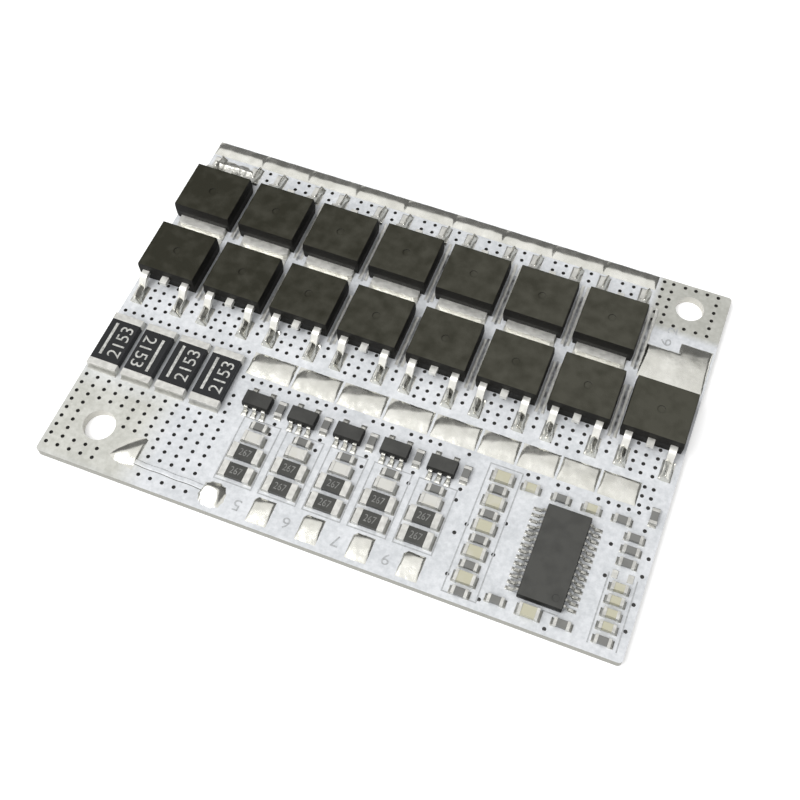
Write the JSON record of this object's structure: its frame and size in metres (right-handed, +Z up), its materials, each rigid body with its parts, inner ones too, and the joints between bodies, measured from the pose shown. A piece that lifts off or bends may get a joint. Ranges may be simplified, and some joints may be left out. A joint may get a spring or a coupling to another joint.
{
  "type": "battery management board",
  "caption": "Flat circuit board for a small lithium battery pack, with power transistors in rows, current shunts, a controller, solder pads and mounting holes.",
  "frame": {"origin": "centre of the rectangular outline on the underside of the board", "axes": "+X along the long side from the battery negative corner, +Y across the board towards the output bus, +Z up out of the component side"},
  "size_m": [0.06, 0.042, 0.0034],
  "materials": {
    "solder_mask": "white solder mask over copper and glass-fibre laminate, satin",
    "tinned_land": "tinned copper, bright and slightly uneven",
    "solder": "reflowed tin solder, bright and wavy",
    "moulding_compound": "dark olive-grey epoxy moulding compound, fine matt grain",
    "tinned_leadframe": "matt tin plate over copper",
    "shunt_coat": "near-black protective coat, satin",
    "plated_terminal": "matt tin plate",
    "chip_compound": "dark grey epoxy moulding compound, matt",
    "resistor_glass": "dark glass coat over white ceramic",
    "capacitor_ceramic": "beige fired ceramic, matt"
  },
  "bodies": {
    "root": {"board": "solder_mask", "solder_lands": "tinned_land", "output_bus_solder": "solder", "middle_bus_solder": "solder", "cell_tap_solder": "solder", "battery_negative_solder": "solder", "discharge_solder": "solder", "transistor_1_body": "moulding_compound", "transistor_2_body": "moulding_compound", "transistor_3_body": "moulding_compound", "transistor_4_body": "moulding_compound", "transistor_5_body": "moulding_compound", "transistor_6_body": "moulding_compound", "transistor_7_body": "moulding_compound", "transistor_8_body": "moulding_compound", "transistor_9_body": "moulding_compound", "transistor_10_body": "moulding_compound", "transistor_11_body": "moulding_compound", "transistor_12_body": "moulding_compound", "transistor_13_body": "moulding_compound", "transistor_14_body": "moulding_compound", "transistor_15_body": "moulding_compound", "transistor_1_leadframe": "tinned_leadframe", "transistor_2_leadframe": "tinned_leadframe", "transistor_3_leadframe": "tinned_leadframe", "transistor_4_leadframe": "tinned_leadframe", "transistor_5_leadframe": "tinned_leadframe", "transistor_6_leadframe": "tinned_leadframe", "transistor_7_leadframe": "tinned_leadframe", "transistor_8_leadframe": "tinned_leadframe", "transistor_9_leadframe": "tinned_leadframe", "transistor_10_leadframe": "tinned_leadframe", "transistor_11_leadframe": "tinned_leadframe", "transistor_12_leadframe": "tinned_leadframe", "transistor_13_leadframe": "tinned_leadframe", "transistor_14_leadframe": "tinned_leadframe", "transistor_15_leadframe": "tinned_leadframe", "shunt_1_body": "shunt_coat", "shunt_2_body": "shunt_coat", "shunt_3_body": "shunt_coat", "shunt_4_body": "shunt_coat", "shunt_1_terminals": "plated_terminal", "shunt_2_terminals": "plated_terminal", "shunt_3_terminals": "plated_terminal", "shunt_4_terminals": "plated_terminal", "balance_chip_1_body": "chip_compound", "balance_chip_2_body": "chip_compound", "balance_chip_3_body": "chip_compound", "balance_chip_4_body": "chip_compound", "balance_chip_5_body": "chip_compound", "balance_chip_leads": "tinned_leadframe", "controller_body": "chip_compound", "controller_leads": "tinned_leadframe", "balance_resistor_bodies": "resistor_glass", "balance_resistor_terminals": "plated_terminal", "chip_resistor_bodies": "resistor_glass", "chip_resistor_terminals": "plated_terminal", "chip_capacitor_bodies": "capacitor_ceramic", "chip_capacitor_terminals": "plated_terminal"}
  },
  "joints": []
}
